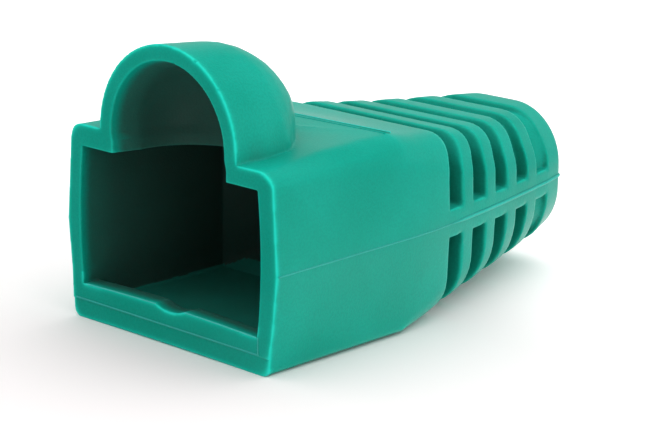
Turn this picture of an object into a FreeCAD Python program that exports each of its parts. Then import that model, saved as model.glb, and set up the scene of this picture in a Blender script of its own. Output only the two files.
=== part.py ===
"""Strain relief boot for an RJ45 patch cable plug: one soft moulded piece.

Frame: X across the boot, Y from the plug mouth (Y = 0) back to the cable end,
Z up, with Z = 0 on the flat underside. All sizes are in millimetres.
"""
import FreeCAD, Part
import math
import os

Vector = FreeCAD.Vector
ALONG_Y = Vector(0, 1, 0)
HALF_TURN_OF_CORNER = math.radians(45)

# ---- housing round the plug -------------------------------------------------
plug_width = 11.68            # the modular plug that the mouth slips over
plug_clearance = 0.02
cavity_height = 7.86          # floor to roof, behind the sill
floor_wall = 0.70
roof_wall = 1.03
housing_length = 9.15
parting_height = 4.76         # where the two mould halves meet
mouth_side_wall = 1.25        # side wall at the parting line, at the mouth
rear_side_wall = 1.04         # the same at the back of the housing
upper_draft = 0.34            # each side leans in by this much towards the roof
lower_draft = 0.46            # and by this much towards the floor
mouth_shoulder_radius = 0.85
rear_shoulder_radius = 1.60
foot_radius = 0.45
cavity_corner_radius = 0.25
corner_share = 0.95           # a rounded corner takes at most this share of its wall

# ---- sill across the bottom of the mouth ------------------------------------
sill_height = 0.99            # above the cavity floor
sill_depth = 0.97
sill_crown = 0.12             # the sill's top edge bows up in the middle
apron_height = 0.89           # step line across the mouth's lower face
apron_setback = 0.05          # the face below the line stands back by this much

# ---- hood over the latch ----------------------------------------------------
hood_inner_radius = 3.86      # at the mouth
hood_wall = 0.73
hood_axis_above_roof = 0.07
hood_length = 6.85
hood_dome_radius = 4.39       # outside, over the round end
hood_pocket_length = 4.95     # hollow inside, from the mouth to its round end
hood_pocket_waist = 3.48      # its radius where the round end starts

# ---- ribbed tail ------------------------------------------------------------
tail_length = 15.25
tail_end_half_width = 4.05
tail_end_top = 8.33
tail_end_bottom = 1.32
tail_end_top_radius = 3.09
tail_end_bottom_radius = 2.67
tail_foot_radius_bulge = 1.54 # extra roundness of the lower corners midway
width_fall = 1.48             # power of the taper seen from above
top_fall = 2.50               # power of the taper of the crest
bottom_rise = 2.65            # power of the rise of the underside
tail_section_count = 9
tail_end_round = 0.35

# ---- cable way and slots ----------------------------------------------------
bore_radius = 2.60
bore_height = 4.82
funnel_length = 3.20
bore_countersink = 0.25
ring_corner_angle = math.radians(10)   # arcs of the bore that face a square corner
slot_count = 5
slot_width = 1.10
slot_pitch = 2.14
first_slot_at = 12.62         # front face of the first slot
spine_half_height = 0.68      # side spines that join the ribs
sleeve_side_wall = 1.70       # sleeve left round the bore, at its sides
sleeve_top_wall = 0.60        # and above and below it
sleeve_corner_radius = 2.0

# ---- sizes that follow from the ones above ----------------------------------
cavity_half = (plug_width + plug_clearance) / 2
cavity_top = floor_wall + cavity_height
housing_height = cavity_top + roof_wall
mouth_half = cavity_half + mouth_side_wall
rear_half = cavity_half + rear_side_wall
overall_length = housing_length + tail_length
hood_axis_z = housing_height + hood_axis_above_roof
hood_outer_radius = hood_inner_radius + hood_wall
hood_pocket_waist_at = hood_pocket_length - hood_pocket_waist
mouth_overcut = 1.0           # cutting shapes start this far in front of the mouth
overlap = 0.5                 # and run this far past the faces they open


def rounded_section(y, corners):
    """Closed wire in the plane Y = y through (x, z, radius) corners."""
    count = len(corners)
    points = [Vector(x, y, z) for x, z, radius in corners]
    entries, exits, middles = [], [], []
    for i, corner in enumerate(corners):
        here = points[i]
        to_last = (points[i - 1] - here).normalize()
        to_next = (points[(i + 1) % count] - here).normalize()
        radius = corner[2]
        if radius == 0:
            entries.append(here)
            exits.append(here)
            middles.append(None)
            continue
        half_angle = to_last.getAngle(to_next) / 2
        setback = radius / math.tan(half_angle)
        centre = here + (to_last + to_next).normalize() * (radius / math.sin(half_angle))
        entries.append(here + to_last * setback)
        exits.append(here + to_next * setback)
        middles.append(centre + (here - centre).normalize() * radius)
    edges = []
    for i in range(count):
        if middles[i] is not None:
            edges.append(Part.Arc(entries[i], middles[i], exits[i]).toShape())
        edges.append(Part.LineSegment(exits[i], entries[(i + 1) % count]).toShape())
    return Part.Wire(edges)


def skinned(start, end):
    """Solid between two sections with matching edges, flat wherever it can be."""
    faces = [Part.Face(start), Part.Face(end)]
    for near, far in zip(start.Edges, end.Edges):
        side = Part.makeRuledSurface(near, far)
        corners = [near.Vertexes[0].Point, near.Vertexes[1].Point,
                   far.Vertexes[1].Point, far.Vertexes[0].Point]
        is_straight = isinstance(near.Curve, Part.Line)
        if is_straight and Part.makePolygon(corners + corners[:1]).findPlane():
            side = Part.Face(Part.makePolygon(corners + corners[:1]))
        faces.append(side)
    shell = Part.makeShell(faces)
    shell.sewShape()
    solid = Part.Solid(shell)
    if solid.Volume < 0:
        solid.reverse()
    return solid


def outer_section(y, half_width, bottom, top, draft_low, draft_high, foot, shoulder):
    """Outside of the boot: sides meet in a blunt edge at the parting line."""
    low = half_width - draft_low
    high = half_width - draft_high
    foot = min(foot, (parting_height - bottom) * corner_share)
    shoulder = min(shoulder, (top - parting_height) * corner_share)
    return rounded_section(y, [
        (low, bottom, foot),
        (half_width, parting_height, 0),
        (high, top, shoulder),
        (-high, top, shoulder),
        (-half_width, parting_height, 0),
        (-low, bottom, foot),
    ])


def box_section(y, half_width, bottom, top, radius):
    return rounded_section(y, [
        (half_width, bottom, radius),
        (half_width, top, radius),
        (-half_width, top, radius),
        (-half_width, bottom, radius),
    ])


def blend(start, end, share):
    return start + (end - start) * share


def prism(outline, length):
    return Part.Face(outline).extrude(ALONG_Y * length)


def housing_section(y):
    """Outside of the housing, with moulding draft on its sides."""
    share = y / housing_length
    half_width = blend(mouth_half, rear_half, share)
    return outer_section(
        y, half_width, 0, housing_height,
        half_width - mouth_half + lower_draft, upper_draft, foot_radius,
        blend(mouth_shoulder_radius, rear_shoulder_radius, share))


def lip_section(y):
    """The housing's outside above the step line, for the rim of the mouth."""
    share = y / housing_length
    half_width = blend(mouth_half, rear_half, share)
    low_corner = mouth_half - lower_draft
    low = blend(low_corner, half_width, apron_height / parting_height)
    high = half_width - upper_draft
    shoulder = blend(mouth_shoulder_radius, rear_shoulder_radius, share)
    return rounded_section(y, [
        (low, apron_height, 0),
        (half_width, parting_height, 0),
        (high, housing_height, shoulder),
        (-high, housing_height, shoulder),
        (-half_width, parting_height, 0),
        (-low, apron_height, 0),
    ])


def housing():
    rim = skinned(lip_section(0), lip_section(apron_setback))
    shell = skinned(housing_section(apron_setback), housing_section(housing_length))
    return shell.fuse(rim)


def tail_section(share, inset=0):
    """Outside of the tail, from its root (share 0) to its end (share 1)."""
    lean = 1 - share
    foot_bulge = tail_foot_radius_bulge * 4 * share * lean
    return outer_section(
        housing_length + tail_length * share,
        blend(rear_half, tail_end_half_width, share ** width_fall) - inset,
        blend(0, tail_end_bottom, share ** bottom_rise) + inset,
        blend(tail_end_top, housing_height, lean ** top_fall) - inset,
        (lower_draft - mouth_half + rear_half) * lean,
        upper_draft * lean,
        blend(foot_radius, tail_end_bottom_radius, share) + foot_bulge - inset,
        blend(rear_shoulder_radius, tail_end_top_radius, share) - inset,
    )


def tail():
    """Tapering barrel, then its end turned in over a small round in two flats."""
    steps = tail_section_count - 1
    barrel_share = 1 - tail_end_round / tail_length
    sections = [tail_section(barrel_share * i / steps) for i in range(tail_section_count)]
    barrel = Part.makeLoft(sections, True, False)
    turn = HALF_TURN_OF_CORNER
    knuckle_share = 1 - tail_end_round * (1 - math.sin(turn)) / tail_length
    knuckle = tail_section(knuckle_share, tail_end_round * (1 - math.cos(turn)))
    end = tail_section(1, tail_end_round)
    return barrel.fuse([skinned(sections[-1], knuckle), skinned(knuckle, end)])


def revolved(edges):
    """Solid turned about the hood's axis, from edges that close on the axis."""
    profile = Part.Face(Part.Wire(edges))
    return profile.revolve(Vector(0, 0, hood_axis_z), ALONG_Y, 360)


def hood_profile_point(radius, y):
    return Vector(radius, y, hood_axis_z)


def hood_outside():
    """Dome on a tapering barrel, kept only above the roof's underside."""
    dome_centre = hood_length - hood_dome_radius
    on_dome = HALF_TURN_OF_CORNER
    mouth_edge = hood_profile_point(hood_outer_radius, 0)
    barrel_end = hood_profile_point(hood_dome_radius, dome_centre)
    dome_middle = hood_profile_point(hood_dome_radius * math.cos(on_dome),
                                     dome_centre + hood_dome_radius * math.sin(on_dome))
    dome_end = hood_profile_point(0, hood_length)
    start = hood_profile_point(0, 0)
    dome = revolved([
        Part.LineSegment(start, mouth_edge).toShape(),
        Part.LineSegment(mouth_edge, barrel_end).toShape(),
        Part.Arc(barrel_end, dome_middle, dome_end).toShape(),
        Part.LineSegment(dome_end, start).toShape(),
    ])
    above = Part.makeBox(2 * hood_outer_radius, hood_length, 2 * hood_outer_radius,
                         Vector(-hood_outer_radius, 0, cavity_top))
    return dome.common(above)


def pocket_side(side):
    """Edges of the hood's hollow on one side, from the mouth to its round end."""
    on_arc = HALF_TURN_OF_CORNER
    outside = hood_profile_point(side * hood_inner_radius, -mouth_overcut)
    at_mouth = hood_profile_point(side * hood_inner_radius, 0)
    waist = hood_profile_point(side * hood_pocket_waist, hood_pocket_waist_at)
    round_middle = hood_profile_point(
        side * hood_pocket_waist * math.cos(on_arc),
        hood_pocket_waist_at + hood_pocket_waist * math.sin(on_arc))
    end = hood_profile_point(0, hood_pocket_length)
    return [
        Part.LineSegment(outside, at_mouth).toShape(),
        Part.LineSegment(at_mouth, waist).toShape(),
        Part.Arc(waist, round_middle, end).toShape(),
    ]


def hood_pocket():
    """Room for the latch: a domed hollow that opens down into the cavity."""
    end = hood_profile_point(0, hood_pocket_length)
    start = hood_profile_point(0, -mouth_overcut)
    right = hood_profile_point(hood_inner_radius, -mouth_overcut)
    left = hood_profile_point(-hood_inner_radius, -mouth_overcut)
    dome = revolved([Part.LineSegment(end, start).toShape(),
                     Part.LineSegment(start, right).toShape()] + pocket_side(1))
    plan = Part.Wire(Part.__sortEdges__(
        pocket_side(1) + pocket_side(-1) + [Part.LineSegment(left, right).toShape()]))
    throat_depth = hood_axis_z - cavity_top + cavity_corner_radius + overlap
    throat = Part.Face(plan).extrude(Vector(0, 0, -throat_depth))
    return dome.fuse(throat)


def plug_cavity():
    """Square hollow for the plug, with the sill left standing at the mouth."""
    hollow = prism(box_section(-mouth_overcut, cavity_half, floor_wall, cavity_top,
                               cavity_corner_radius),
                   housing_length + mouth_overcut)
    sill_top = floor_wall + sill_height
    left = Vector(-cavity_half, -mouth_overcut, sill_top)
    right = Vector(cavity_half, -mouth_overcut, sill_top)
    crown = Vector(0, -mouth_overcut, sill_top + sill_crown)
    drop = Vector(0, 0, -sill_height - floor_wall)
    outline = Part.Wire([
        Part.Arc(left, crown, right).toShape(),
        Part.LineSegment(right, right + drop).toShape(),
        Part.LineSegment(right + drop, left + drop).toShape(),
        Part.LineSegment(left + drop, left).toShape(),
    ])
    sill = prism(outline, sill_depth + mouth_overcut)
    return hollow.cut(sill)


def ring_section(y, radius):
    """Circle round the bore, in eight arcs that pair with a box section's edges."""
    corner = ring_corner_angle
    turns = []
    for quarter in range(4):
        middle = math.radians(-45 + 90 * quarter)
        turns += [middle - corner, middle + corner]
    edges = []
    for i, start in enumerate(turns):
        end = turns[(i + 1) % len(turns)]
        if end < start:
            end += 2 * math.pi
        arc = [Vector(radius * math.cos(turn), y, bore_height + radius * math.sin(turn))
               for turn in (start, (start + end) / 2, end)]
        edges.append(Part.Arc(*arc).toShape())
    return Part.Wire(edges)


def cable_way():
    """Funnel from the plug cavity, then the bore out through the tail."""
    funnel_end = housing_length + funnel_length
    funnel = Part.makeLoft([
        box_section(housing_length, cavity_half, floor_wall, cavity_top,
                    cavity_corner_radius),
        ring_section(funnel_end, bore_radius),
    ], True, True)
    bore = Part.makeCylinder(bore_radius, overall_length - funnel_end + overlap,
                             Vector(0, funnel_end, bore_height), ALONG_Y)
    countersink = Part.makeCone(bore_radius, bore_radius + 2 * bore_countersink,
                                2 * bore_countersink,
                                Vector(0, overall_length - bore_countersink, bore_height),
                                ALONG_Y)
    return [funnel, bore, countersink]


def sleeve():
    """Core that the slots leave standing round the bore."""
    top = bore_height + bore_radius + sleeve_top_wall
    bottom = bore_height - bore_radius - sleeve_top_wall
    half = bore_radius + sleeve_side_wall
    return prism(box_section(housing_length, half, bottom, top, sleeve_corner_radius),
                 tail_length)


def slots():
    """Flexing slots, above and below the side spines."""
    core = sleeve()
    span = 2 * mouth_half
    spine = Part.makeBox(span, tail_length, 2 * spine_half_height,
                         Vector(-mouth_half, housing_length,
                                parting_height - spine_half_height))
    keep = core.fuse(spine)
    cuts = []
    for i in range(slot_count):
        start = Vector(-mouth_half, first_slot_at + i * slot_pitch, -overlap)
        slab = Part.makeBox(span, slot_width, housing_height + 2 * overlap, start)
        cuts.append(slab.cut(keep))
    return cuts


def boot():
    shell = housing().fuse(tail()).fuse(hood_outside())
    hollows = [plug_cavity(), hood_pocket()] + cable_way()
    return shell.cut(hollows + slots()).removeSplitter()


if __name__ == "__main__":
    shape = boot()
    solid = shape.Solids[0]
    print("valid", shape.isValid(), "solids", len(shape.Solids))
    print("volume", round(shape.Volume, 1), "mm3, box", shape.BoundBox)
    print(len(shape.Faces), "faces", len(shape.Edges), "edges")
    print("centre of mass", solid.CenterOfMass)
    os.makedirs("parts", exist_ok=True)
    solid.exportStep("parts/strain_relief_boot.step")
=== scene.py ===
import math
import bpy
from mathutils import Matrix, Vector


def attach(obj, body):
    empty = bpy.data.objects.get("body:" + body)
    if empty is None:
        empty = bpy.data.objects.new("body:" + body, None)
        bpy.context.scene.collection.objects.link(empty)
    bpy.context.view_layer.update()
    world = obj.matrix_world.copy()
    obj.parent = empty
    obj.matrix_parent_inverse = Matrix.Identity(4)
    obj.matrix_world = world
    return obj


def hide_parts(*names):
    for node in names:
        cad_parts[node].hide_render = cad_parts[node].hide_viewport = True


MM = 0.001

# Sizes and places on the moulding, in millimetres in the part's own frame.
PARTING_HEIGHT = 4.76
MIDDLE_HEIGHT = 4.8
ROOF_HEIGHT = 9.59
HOUSING_LENGTH = 9.15
CAVITY_HALF = 5.85
CAVITY_TOP = 8.56
CAVITY_CORNER = 0.25
FLOOR_TOP = 0.70
SILL_TOP = 1.69
SILL_CROWN = 0.12
STEP_LINE = 0.89
HOOD_FOOT = 9.3
HOOD_AXIS_HEIGHT = 9.66
DOME_START = 2.46
POCKET_END = 6.5
TAIL_END = 24.40
TAIL_END_TOP = 8.33
SLOT_WIDTH = 1.10
SLOT_STARTS = [12.62 + 2.14 * i for i in range(5)]
PAPER_HEIGHT = -0.09

# How far each slot's front and back edge lies from its even place, towards the tail's end.
SLOT_EDGE_SHIFTS = [(-0.17, -0.07), (-0.17, 0.0), (-0.12, 0.0), (-0.04, 0.08), (0.05, 0.25)]

# Colours of the plastic's body, then painted light and shade: painted glow on its edges and
# flash, and painted shade in its deepest hollows.
GREEN = (0.0015, 0.396, 0.297, 1)
CLOUDY_GREEN = (0.0025, 0.444, 0.340, 1)
SPECKLE_GREEN = (0.0010, 0.24, 0.18, 1)
EDGE_GLOW_GREEN = (0.004, 0.76, 0.60, 1)
THIN_EDGE_GLOW_GREEN = (0.035, 0.95, 0.80, 1)
FLASH_GLOW_GREEN = (0.12, 0.90, 0.78, 1)
HOLLOW_SHADE_GREEN = (0.036, 0.060, 0.051, 1)


def only(piece):
    """Selects this piece alone and makes it the active one."""
    bpy.ops.object.select_all(action="DESELECT")
    bpy.context.view_layer.objects.active = piece
    piece.select_set(True)


def scale_mesh(piece, factor):
    only(piece)
    piece.scale = (factor, factor, factor)
    bpy.ops.object.transform_apply(location=False, rotation=False, scale=True)


def finish_with(piece, name, kind, **settings):
    """Adds a modifier with these settings and applies it."""
    only(piece)
    modifier = piece.modifiers.new(name, kind)
    for setting, value in settings.items():
        setattr(modifier, setting, value)
    bpy.ops.object.modifier_apply(modifier=name)


def cut_away(piece, cutter):
    """Takes the cutter's shape out of the piece and removes the cutter."""
    finish_with(piece, "cut", "BOOLEAN", operation="DIFFERENCE", object=cutter,
                solver="EXACT")
    only(cutter)
    bpy.ops.object.delete()


def rising(value, low, high):
    """0 up to low, 1 from high on, and smooth between them."""
    share = min(1.0, max(0.0, (value - low) / (high - low)))
    return share * share * (3 - 2 * share)


def falling(value, low, high):
    """1 up to low, 0 from high on, and smooth between them."""
    return 1 - rising(value, low, high)


def spaced(start, end, count):
    """This many even steps from start to end, both included."""
    return [start + (end - start) * i / (count - 1) for i in range(count)]


def merged_copy(node):
    """The moulding's own copy of the solid's mesh, with its loose triangles joined up."""
    piece = bpy.data.objects.new("boot_moulding", node.data.copy())
    bpy.context.scene.collection.objects.link(piece)
    only(piece)
    bpy.ops.object.mode_set(mode="EDIT")
    bpy.ops.mesh.select_all(action="SELECT")
    bpy.ops.mesh.remove_doubles(threshold=0.002 * MM)
    bpy.ops.object.mode_set(mode="OBJECT")
    return piece


def square_cavity_corners(piece):
    """The mould's core has sharp corners, so the cavity's are drawn out up to its funnel."""
    corners_end = 8.9
    straight_half = CAVITY_HALF - CAVITY_CORNER
    rounding_reach = CAVITY_CORNER * 1.02
    for vertex in piece.data.vertices:
        x, y, z = vertex.co
        if y > corners_end:
            continue
        across = abs(x) - straight_half
        for inward, sense in ((z - (CAVITY_TOP - CAVITY_CORNER), 1),
                              (FLOOR_TOP + CAVITY_CORNER - z, -1)):
            reach = math.hypot(across, inward)
            if across <= 0 or inward <= 0 or reach > rounding_reach:
                continue
            draw = reach / max(across, inward)
            vertex.co.x = math.copysign(straight_half + across * draw, x)
            vertex.co.z = z + sense * inward * (draw - 1)


def gate_dimple(piece):
    """Shallow dip pulled down in the middle of the sill."""
    radius = 2.5
    length = 3.0
    aside = 0.1
    back = 0.6
    sunk = 0.22
    height = SILL_TOP + SILL_CROWN + radius - sunk
    bpy.ops.mesh.primitive_cylinder_add(vertices=96, radius=radius, depth=length,
                                        location=(aside, back, height),
                                        rotation=(math.pi / 2, 0, 0))
    cut_away(piece, bpy.context.object)


def edge_nicks(piece):
    """Small nicks in the hood's front edges, two outside and one inside."""
    outer_nick = (1.95, -0.02, 13.82)
    lower_nick = (3.45, 0.0, 12.72)
    inner_nick = (0.55, 0.0, 13.50)
    for place, radius in ((outer_nick, 0.12), (lower_nick, 0.10), (inner_nick, 0.09)):
        bpy.ops.mesh.primitive_ico_sphere_add(subdivisions=2, radius=radius, location=place)
        cut_away(piece, bpy.context.object)


def smooth_where(piece, name, weights, rounds):
    """Smooths the skin by these weights, one for each point."""
    least_weight = 0.01
    group = piece.vertex_groups.new(name=name)
    for index, weight in enumerate(weights):
        if weight > least_weight:
            group.add([index], weight, "REPLACE")
    finish_with(piece, name, "SMOOTH", factor=0.5, iterations=rounds, vertex_group=name)
    piece.vertex_groups.clear()


def stand_out(piece, rounds):
    """How far each point stands out from a copy smoothed this many rounds."""
    twin = piece.copy()
    twin.data = piece.data.copy()
    bpy.context.scene.collection.objects.link(twin)
    finish_with(twin, "smooth", "SMOOTH", factor=0.5, iterations=rounds)
    heights = [(point.co - smoothed.co).dot(point.normal)
               for point, smoothed in zip(piece.data.vertices, twin.data.vertices)]
    only(twin)
    bpy.ops.object.delete()
    return heights


def at_rib_edge(point):
    """1 on the outer skin along the front edge of each rib."""
    x, y, z = point.co
    beside_sleeve = rising(abs(x), 4.0, 4.2)
    over_sleeve = rising(abs(z - MIDDLE_HEIGHT), 3.1, 3.3)
    from_edge = min(abs(y - start - SLOT_WIDTH) for start in SLOT_STARTS)
    return max(beside_sleeve, over_sleeve) * falling(from_edge, 0.15, 0.40)


def at_tail_end(point):
    """1 on the last 0.3 mm of the tail."""
    return rising(point.co.y, TAIL_END - 0.6, TAIL_END - 0.3)


def soften_edges(piece):
    """Rounds off the ribs and the tail's end, then every edge a little."""
    rib_weights = [at_rib_edge(point) for point in piece.data.vertices]
    smooth_where(piece, "rib_edges", rib_weights, rounds=10)
    end_weights = [at_tail_end(point) for point in piece.data.vertices]
    smooth_where(piece, "tail_end", end_weights, rounds=6)
    finish_with(piece, "all_edges", "SMOOTH", factor=0.5, iterations=2)


def even_faces(piece):
    """Draws the skin smooth between its edges, which stay as they are."""
    weights = [falling(abs(height), 0.003, 0.010) for height in stand_out(piece, rounds=6)]
    smooth_where(piece, "faces", weights, rounds=25)


def warp(piece, shift_at):
    """Moves each point by the shift in x, y and z that shift_at gives for its place."""
    for vertex in piece.data.vertices:
        place = vertex.co[:]
        vertex.co = [start + shift for start, shift in zip(place, shift_at(*place))]


def hood_squared(x, y, z):
    """Near the roof the hood runs straight on at its sides, then turns in more sharply."""
    swell = 0.22
    drawn_in = 0.16
    behind_hood = 8.5
    beyond = max(0.0, y - DOME_START)
    reach = math.hypot(x, beyond)
    near_roof = rising(z, 9.2, 9.5) * falling(z, 9.7, 11.8)
    outer_wall = rising(reach, 3.75, 4.2) * falling(reach, 4.9, 6.2)
    if near_roof * outer_wall == 0 or y > behind_hood:
        return 0, 0, 0
    turn = math.atan2(beyond, abs(x))
    at_sides = rising(y, 0.2, 2.2) * falling(turn, 0.18, 0.50)
    at_turn = rising(turn, 0.25, 0.70) * falling(turn, 0.95, 1.50)
    shift = (swell * at_sides - drawn_in * at_turn) * near_roof * outer_wall / reach
    return x * shift, beyond * shift, 0


def roof_sagging(x, y, z):
    """Beside the hood the roof's right front corner lies a little low."""
    drop = 0.17
    at_right = rising(x, 1.0, 4.4)
    near_roof = rising(z, 8.6, 9.3) * falling(z, 9.8, 10.8)
    at_front = falling(y, 1.0, 5.0)
    return 0, 0, -drop * at_right * near_roof * at_front


def hood_set_aside(x, y, z):
    """The hood sits a little to one side of the housing, as the core was set."""
    aside = 0.11
    above_roof = rising(z, 9.0, 9.6)
    before_back = falling(y, POCKET_END, 8.5)
    return -aside * above_roof * before_back, 0, 0


def walls_bowed(x, y, z):
    """Inside the mouth both side walls bow outward, the left one a little more."""
    most = 0.22
    more_at_left = 0.18
    widest_height = 5.0
    half_height = 3.6
    face = 5.9
    outer_limit = 6.55
    across = abs(x)
    if across > face:
        near_face = max(0, (outer_limit - across) / (outer_limit - face))
    else:
        near_face = rising(across, 4.5, 5.7)
    level = rising(z, 0.4, 0.8) * falling(z, 8.7, 9.2)
    near_mouth = falling(y, 0, 9.0)
    bow = most * (1 - ((z - widest_height) / half_height) ** 2)
    if x < 0:
        bow += more_at_left
    return math.copysign(1, x) * bow * near_face * level * near_mouth, 0, 0


def foot_settled(x, y, z):
    """The front foot is drawn a little down, most at its corners, and to the left."""
    drop = 0.03
    corner_drop = 0.06
    aside = 0.12
    foot_half = 6.6
    near = falling(y, 0, 5.0) * falling(z, 0.2, 2.6)
    return -near * aside, 0, -near * (drop + corner_drop * (x / foot_half) ** 2)


def crest_height(y):
    """Height of the tail's upper edge, which falls quickly at first and then levels out."""
    fall_power = 2.5
    share = min(1.0, max(0.0, (y - HOUSING_LENGTH) / (TAIL_END - HOUSING_LENGTH)))
    return TAIL_END_TOP + (ROOF_HEIGHT - TAIL_END_TOP) * (1 - share) ** fall_power


def slot_drift(y):
    """Shift towards the tail's end at y, going evenly from each slot's edge to the next."""
    even_before = 11.6
    even_after = 24.0
    places = [(even_before, 0.0)]
    for slot, (front, back) in zip(SLOT_STARTS, SLOT_EDGE_SHIFTS):
        places += [(slot, front), (slot + SLOT_WIDTH, back)]
    places.append((even_after, 0.0))
    for (start, at_start), (end, at_end) in zip(places, places[1:]):
        if start <= y <= end:
            return at_start + (at_end - at_start) * (y - start) / (end - start)
    return 0.0


def slots_set(x, y, z):
    """The slots lie further back over the roof, and down the sides they differ in width."""
    back_over_roof = 0.50
    back_beneath = 0.28
    along = rising(y, 10.6, 13.4) * falling(y, 21.6, 24.0)
    below_crest = crest_height(y) - z
    over_roof = falling(below_crest, -0.3, 1.5)
    beneath = falling(z, 0.6, 3.0) * rising(y, 14.0, 20.0)
    down_sides = rising(below_crest, 0.0, 2.4)
    lean = along * (back_over_roof * over_roof + back_beneath * beneath)
    return 0, lean + slot_drift(y) * down_sides, 0


def store(piece, name, values):
    """Keeps a value from 0 to 1 at each point for the material."""
    mark = piece.data.attributes.new(name, "FLOAT", "POINT")
    for entry, value in zip(mark.data, values):
        entry.value = min(1.0, max(0.0, value))


def hollow_shade_share(point):
    """Share of painted shade: 1 on the walls of the cavity, pocket and bore, falling to 0 at
    their mouths.
    """
    floor_band = 1.2
    floor_share = 0.36
    x, y, z = point.co
    in_hood = z > HOOD_FOOT
    if in_hood and y > POCKET_END:
        return 0.0
    centre = HOOD_AXIS_HEIGHT if in_hood else MIDDLE_HEIGHT
    inward = Vector((-x, 0, centre - z)).normalized().dot(point.normal)
    if y < POCKET_END:
        inward = max(inward, -point.normal.y)
    start = 0.88 if in_hood else 0.84
    reach = start * rising(y, 0.15, 0.65) + (1 - start) * rising(y, 0.4, 2.8)
    if z < floor_band and point.normal.z > 0.5:
        reach *= floor_share
    reach *= falling(y, TAIL_END - 0.5, TAIL_END)
    return rising(inward, 0.0, 0.3) * reach


def glow_share(point):
    """How freely an edge here glows: less round the openings and on the ribs."""
    on_ribs = 0.45
    round_openings = 0.5
    ribs_start = 11.5
    foot_top = 2.2
    mid_hood_wall = 4.25
    mid_side_wall = 6.4
    mid_roof_wall = 9.1
    x, y, z = point.co
    if y > ribs_start:
        return on_ribs
    if z < foot_top:
        return 1.0
    round_pocket = math.hypot(x, z - HOOD_AXIS_HEIGHT) < mid_hood_wall
    round_cavity = abs(x) < mid_side_wall and z < mid_roof_wall
    return round_openings if round_pocket or round_cavity else 1.0


def mark_skin(piece, broad):
    """Stores how far each point stands out, broadly and finely, as painted edge glow, and its
    share of painted hollow shade.
    """
    full_broad = 0.14
    full_fine = 0.07
    points = piece.data.vertices
    shares = [glow_share(point) for point in points]
    fine = stand_out(piece, rounds=9)
    for name, heights, full in (("thin_edge_glow", fine, full_fine), ("edge_glow", broad, full_broad)):
        store(piece, name, [height * share / full for height, share in zip(heights, shares)])
    store(piece, "hollow", [hollow_shade_share(point) for point in points])


def thin_flats(piece, heights):
    """Fewer faces where the skin is flat, none lost along its edges."""
    flat_within = 0.02
    triangles_aimed_at = 185000
    triangles = 2 * len(piece.data.polygons)  # each face has four sides
    flats = [index for index, height in enumerate(heights) if abs(height) < flat_within]
    group = piece.vertex_groups.new(name="flats")
    group.add(flats, 1, "REPLACE")
    finish_with(piece, "thin", "DECIMATE", vertex_group="flats",
                ratio=triangles_aimed_at / triangles)
    piece.vertex_groups.clear()


def bead(name, points, radius, glow, growing=1):
    """Thin line of flash, glow being how much painted glow pales it, grown full by this many
    points.
    """
    curve = bpy.data.curves.new(name, "CURVE")
    curve.dimensions = "3D"
    curve.bevel_depth = radius
    curve.bevel_resolution = 2
    curve.use_fill_caps = True
    spline = curve.splines.new("POLY")
    spline.points.add(len(points) - 1)
    for index, point in enumerate(points):
        spline.points[index].co = (*point, 1)
        spline.points[index].radius = min(1.0, (index + 1) / growing)
    line = bpy.data.objects.new(name, curve)
    bpy.context.scene.collection.objects.link(line)
    only(line)
    bpy.ops.object.convert(target="MESH")
    line = bpy.context.object
    store(line, "flash", [glow] * len(line.data.vertices))
    return line


def parting_points(piece, side, start, end, count):
    """Points where the parting plane meets the skin on one side."""
    clear_of_piece = 20
    return [piece.ray_cast((side * clear_of_piece, y, PARTING_HEIGHT), (-side, 0, 0))[1]
            for y in spaced(start, end, count)]


def sill_points(start, end):
    """Points along the sill's crowned top edge."""
    sunk = 0.01
    return [(x, 0.0, SILL_TOP - sunk + SILL_CROWN * (1 - (x / CAVITY_HALF) ** 2))
            for x in spaced(start, end, count=12)]


def crease_points(back, raised):
    """Points along a slightly slanting line across the roof, behind the hood."""
    middle = 9.02
    slant = 0.07
    return [(x, middle + slant * x + back, ROOF_HEIGHT + raised)
            for x in spaced(start=-5.0, end=5.3, count=12)]


def mould_lines(piece):
    """Witness lines and flash where the parts of the mould met."""
    ahead = 0.005
    beside_mouth = CAVITY_HALF + 0.08
    lines = []
    for side in (-1, 1):
        seam = parting_points(piece, side, start=0.12, end=SLOT_STARTS[0] - 0.1, count=40)
        lines.append(bead("side_seam", seam, radius=0.035, glow=0.40))
        ridge = parting_points(piece, side, start=SLOT_STARTS[0] - 0.6, end=TAIL_END - 0.25,
                               count=48)
        lines.append(bead("spine_flash", ridge, radius=0.09, glow=0.25, growing=8))
    step = [(x, -ahead, STEP_LINE) for x in spaced(start=-6.6, end=6.0, count=20)]
    lines.append(bead("step_line", step, radius=0.04, glow=0.40))
    # The flash on the sill stops on both sides of the dimple.
    for start, end in ((-5.8, -0.9), (1.1, 5.8)):
        lines.append(bead("sill_flash", sill_points(start, end), radius=0.03, glow=0.75))
    core = [(beside_mouth, -2 * ahead, height) for height in (STEP_LINE + 0.03, SILL_TOP + 0.01)]
    lines.append(bead("core_line", core, radius=0.03, glow=0.6))
    # The roof has a crease with a painted highlight, with a duller one in front of it.
    for back, raised, glow in ((0.0, 0.015, 0.55), (-0.36, 0.0, 0.0)):
        lines.append(bead("roof_crease", crease_points(back, raised), radius=0.045, glow=glow))
    return lines


def joined(piece, parts):
    only(piece)
    for part in parts:
        part.select_set(True)
    bpy.ops.object.join()
    return piece


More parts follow.
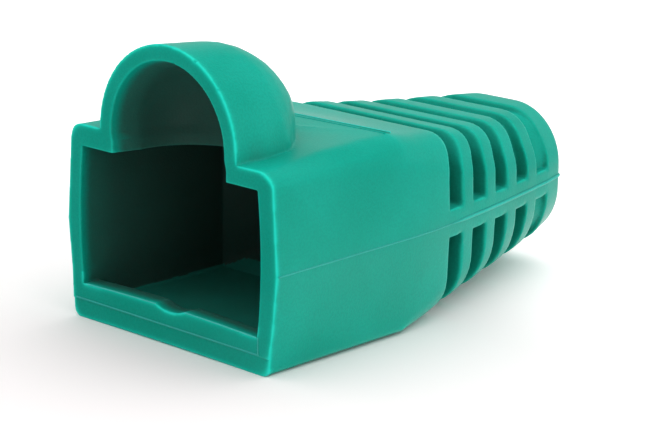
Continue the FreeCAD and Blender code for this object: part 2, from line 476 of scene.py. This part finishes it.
def boot_moulding(node):
    """The boot's solid shape with softened edges and the marks of its mould."""
    piece = merged_copy(node)
    scale_mesh(piece, 1 / MM)
    square_cavity_corners(piece)
    gate_dimple(piece)
    edge_nicks(piece)
    finish_with(piece, "even", "REMESH", mode="SHARP", octree_depth=8, scale=0.9,
                sharpness=1.0, use_remove_disconnected=False)
    finish_with(piece, "fill", "DISPLACE", strength=0.02, mid_level=0.0)
    soften_edges(piece)
    even_faces(piece)
    for shift_at in (hood_squared, roof_sagging, hood_set_aside, walls_bowed, foot_settled,
                     slots_set):
        warp(piece, shift_at)
    broad = stand_out(piece, rounds=45)
    mark_skin(piece, broad)
    thin_flats(piece, broad)
    piece = joined(piece, mould_lines(piece))
    scale_mesh(piece, MM)
    bpy.ops.object.shade_smooth()
    return piece


def emptied(owner):
    """Node tree of a new material or world, with nothing in it."""
    owner.use_nodes = True
    owner.node_tree.nodes.clear()
    return owner.node_tree


def added(tree, kind, inputs, **settings):
    """New node with these settings, its inputs set to values or linked to outputs."""
    node = tree.nodes.new(kind)
    for setting, value in settings.items():
        setattr(node, setting, value)
    for name, value in inputs.items():
        if isinstance(value, bpy.types.NodeSocket):
            tree.links.new(value, node.inputs[name])
        else:
            node.inputs[name].default_value = value
    return node


def ranged(tree, value, over, to):
    """Goes smoothly through the range in to, as value goes through the range in over."""
    inputs = {"Value": value, "From Min": over[0], "From Max": over[1],
              "To Min": to[0], "To Max": to[1]}
    node = added(tree, "ShaderNodeMapRange", inputs, interpolation_type="SMOOTHSTEP")
    return node.outputs["Result"]


def tinted(tree, share, colour, other):
    """Colour that goes from one to the other as share goes from 0 to 1."""
    return added(tree, "ShaderNodeMix", {0: share, 6: colour, 7: other},
                 data_type="RGBA").outputs[2]


def blended(tree, share, value, other):
    """Number that goes from one to the other as share goes from 0 to 1."""
    return added(tree, "ShaderNodeMix", {0: share, 2: value, 3: other}).outputs[0]


def reckoned(tree, operation, first, second):
    """Number worked out from two others."""
    return added(tree, "ShaderNodeMath", {0: first, 1: second},
                 operation=operation).outputs["Value"]


def along(tree, place, direction):
    """How far a place or a direction lies along another direction."""
    return added(tree, "ShaderNodeVectorMath", {0: place, 1: direction},
                 operation="DOT_PRODUCT").outputs["Value"]


def noise(tree, place, scale, detail):
    return added(tree, "ShaderNodeTexNoise",
                 {"Vector": place, "Scale": scale, "Detail": detail}).outputs["Fac"]


def stored(tree, name):
    """A value that the mesh carries at each point."""
    return added(tree, "ShaderNodeAttribute", {}, attribute_name=name).outputs["Fac"]


def matt(tree, colour):
    return added(tree, "ShaderNodeBsdfDiffuse", {"Color": colour}).outputs[0]


def glowing(tree, colour, strength):
    return added(tree, "ShaderNodeBackground",
                 {"Color": colour, "Strength": strength}).outputs[0]


def by_ray(tree, usual, mirrored, seen):
    """The usual shader, but another one for mirrors and another for the camera."""
    path = added(tree, "ShaderNodeLightPath", {})
    lit = added(tree, "ShaderNodeMixShader",
                {0: path.outputs["Is Glossy Ray"], 1: usual, 2: mirrored})
    return added(tree, "ShaderNodeMixShader",
                 {0: path.outputs["Is Camera Ray"], 1: lit.outputs[0], 2: seen}).outputs[0]


def plastic_colour(tree, clouds, grain):
    """Green with painted glow along thin edges and flash, and painted shade in the hollows and
    where the boot shelters itself.
    """
    cloudy = ranged(tree, clouds, over=(0.3, 0.7), to=(0.0, 1.0))
    body = tinted(tree, cloudy, GREEN, CLOUDY_GREEN)
    speckle = ranged(tree, grain, over=(0.35, 0.65), to=(0.0, 0.22))
    body = tinted(tree, speckle, body, SPECKLE_GREEN)
    # Painted glow: edges that stand out are paled, in place of light shining through the thin
    # plastic.
    broad_glow = ranged(tree, stored(tree, "edge_glow"), over=(0.03, 0.80), to=(0.0, 0.75))
    body = tinted(tree, broad_glow, body, EDGE_GLOW_GREEN)
    thin_glow = ranged(tree, stored(tree, "thin_edge_glow"), over=(0.10, 0.95), to=(0.0, 0.75))
    body = tinted(tree, thin_glow, body, THIN_EDGE_GLOW_GREEN)
    # Painted glow on the flash lines and the roof crease.
    body = tinted(tree, stored(tree, "flash"), body, FLASH_GLOW_GREEN)
    # Painted shade: the boot's occlusion of itself darkens the colour a little outside the
    # hollows and strongly inside them.
    shelter = added(tree, "ShaderNodeAmbientOcclusion", {"Distance": 12 * MM},
                    only_local=True, samples=8).outputs["AO"]
    outer_painted_shade = ranged(tree, shelter, over=(0.05, 0.90), to=(0.34, 0.0))
    inner_painted_shade = ranged(tree, shelter, over=(0.05, 0.75), to=(0.97, 0.80))
    depth = blended(tree, stored(tree, "hollow"), outer_painted_shade, inner_painted_shade)
    return tinted(tree, depth, body, HOLLOW_SHADE_GREEN)


def soft_plastic():
    """Green flexible moulded plastic with a satin skin and a fine grain."""
    material = bpy.data.materials.new("soft_green_pvc")
    tree = emptied(material)
    place = added(tree, "ShaderNodeTexCoord", {}).outputs["Object"]
    clouds = noise(tree, place, scale=260, detail=3)
    grain = noise(tree, place, scale=10000, detail=2)
    bump = added(tree, "ShaderNodeBump",
                 {"Strength": 0.35, "Distance": 0.03 * MM, "Height": grain})
    skin = added(tree, "ShaderNodeBsdfPrincipled", {
        "Base Color": plastic_colour(tree, clouds, grain),
        "Roughness": ranged(tree, clouds, over=(0.3, 0.7), to=(0.30, 0.38)),
        "Normal": bump.outputs["Normal"],
        "IOR": 1.5,
        "Specular IOR Level": 0.13,
        "Subsurface Weight": 0.5,
        "Subsurface Radius": (0.15, 1.0, 0.8),
        "Subsurface Scale": 0.35 * MM,
    })
    added(tree, "ShaderNodeOutputMaterial", {"Surface": skin.outputs["BSDF"]})
    return material


def room_light(scene):
    """Soft room: bright overhead and at a window behind the right side, dim in front."""
    world = bpy.data.worlds.new("studio")
    scene.world = world
    tree = emptied(world)
    direction = added(tree, "ShaderNodeTexCoord", {}).outputs["Generated"]
    height = added(tree, "ShaderNodeSeparateXYZ", {"Vector": direction}).outputs["Z"]

    to_window = along(tree, direction, (0.84, 0.54, 0.0))
    to_front = along(tree, direction, (0.10, -0.99, 0.0))
    ceiling = ranged(tree, height, over=(0.0, 0.85), to=(0.33, 1.30))
    window = ranged(tree, to_window, over=(0.1, 0.9), to=(0.3, 1.12))
    front = ranged(tree, to_front, over=(-0.1, 0.8), to=(1.0, 0.62))
    brighter = reckoned(tree, "MAXIMUM", ceiling, window)
    room = glowing(tree, (1.0, 0.99, 0.97, 1), reckoned(tree, "MULTIPLY", brighter, front))

    to_back = along(tree, direction, (-0.62, 0.78, 0.0))
    horizon = ranged(tree, height, over=(0.29, 0.45), to=(0.56, 0.0))
    behind = ranged(tree, to_back, over=(-0.2, 0.8), to=(0.05, 1.0))
    mirrored = glowing(tree, (1, 1, 1, 1), reckoned(tree, "MULTIPLY", horizon, behind))

    backdrop = glowing(tree, (1, 1, 1, 1), 1.0)
    added(tree, "ShaderNodeOutputWorld", {"Surface": by_ray(tree, room, mirrored, backdrop)})


def overhead_softbox(scene):
    """Large lamp above and behind the boot, which its gloss doesn't mirror."""
    data = bpy.data.lights.new("overhead_softbox", "AREA")
    data.shape = "RECTANGLE"
    data.size = 0.7
    data.size_y = 0.7
    data.energy = 0.25
    lamp = bpy.data.objects.new("overhead_softbox", data)
    scene.collection.objects.link(lamp)
    lamp.location = (0.02, 0.12, 0.25)
    lamp.visible_glossy = False


def white_paper():
    """Pale paper with painted light behind the boot; a painted reflection that the boot mirrors
    mostly beside the tail.
    """
    material = bpy.data.materials.new("white_paper")
    tree = emptied(material)
    place = added(tree, "ShaderNodeTexCoord", {}).outputs["Object"]

    back = added(tree, "ShaderNodeSeparateXYZ", {"Vector": place}).outputs["Y"]
    # Painted light: the camera sees the paper lighter towards the tail, which lightens the boot's
    # shadow there.
    behind = ranged(tree, back, over=(11 * MM, 23 * MM), to=(0.0, 1.0))
    seen = tinted(tree, behind, (1.02, 0.99, 1.01, 1), (1.36, 1.30, 1.33, 1))

    # Painted reflection: what the boot's gloss mirrors is dark in front and bright beside the
    # tail.
    across = along(tree, place, (0.66, 0.75, 0.0))
    near_fade = ranged(tree, across, over=(-10 * MM, 18 * MM), to=(0.0, 1.0))
    far_fade = ranged(tree, across, over=(22 * MM, 50 * MM), to=(1.0, 0.2))
    fade = reckoned(tree, "MULTIPLY", near_fade, far_fade)
    mirrored = tinted(tree, fade, (0.02, 0.02, 0.02, 1), (1.5, 1.5, 1.5, 1))

    plain = matt(tree, (0.8, 0.8, 0.8, 1))
    paper = by_ray(tree, plain, matt(tree, mirrored), matt(tree, seen))
    added(tree, "ShaderNodeOutputMaterial", {"Surface": paper})
    return material


def studio():
    """Paper under the boot and soft light round it."""
    scene = bpy.context.scene
    scene.view_settings.view_transform = "Standard"
    room_light(scene)
    overhead_softbox(scene)
    bpy.ops.mesh.primitive_plane_add(size=2.0, location=(0, 0, PAPER_HEIGHT * MM))
    floor = bpy.context.object
    floor.name = "floor"
    floor.data.materials.append(white_paper())


def camera():
    """Looks at the middle of the boot from its front right, a little from above."""
    azimuth = math.radians(43.331)
    elevation = math.radians(15.196)
    roll = math.radians(0.725)
    distance = 113.40 * MM
    target = Vector((0, 10.481 * MM, 4.190 * MM))
    back = Vector((math.sin(azimuth) * math.cos(elevation),
                   -math.cos(azimuth) * math.cos(elevation),
                   math.sin(elevation)))
    level_right = (-back).cross(Vector((0, 0, 1))).normalized()
    level_up = level_right.cross(-back)
    right = math.cos(roll) * level_right + math.sin(roll) * level_up
    up = -math.sin(roll) * level_right + math.cos(roll) * level_up
    data = bpy.data.cameras.new("camera")
    data.sensor_width = 36
    data.lens = 126.855
    data.clip_start = 0.001
    eye = bpy.data.objects.new("camera", data)
    bpy.context.scene.collection.objects.link(eye)
    turn = Matrix((right, up, back)).transposed().to_4x4()
    eye.matrix_world = Matrix.Translation(target + back * distance) @ turn
    bpy.context.scene.camera = eye


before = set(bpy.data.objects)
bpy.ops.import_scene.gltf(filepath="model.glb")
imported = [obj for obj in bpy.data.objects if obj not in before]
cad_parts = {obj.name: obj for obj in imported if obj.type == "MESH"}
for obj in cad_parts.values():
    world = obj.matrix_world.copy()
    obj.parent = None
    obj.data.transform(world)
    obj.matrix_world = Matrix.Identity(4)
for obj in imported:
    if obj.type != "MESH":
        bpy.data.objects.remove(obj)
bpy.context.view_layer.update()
bpy.ops.object.select_all(action="DESELECT")

boot = boot_moulding(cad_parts["strain_relief_boot"])
boot.data.materials.clear()
boot.data.materials.append(soft_plastic())
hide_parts("strain_relief_boot")
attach(boot, "root")
studio()
camera()
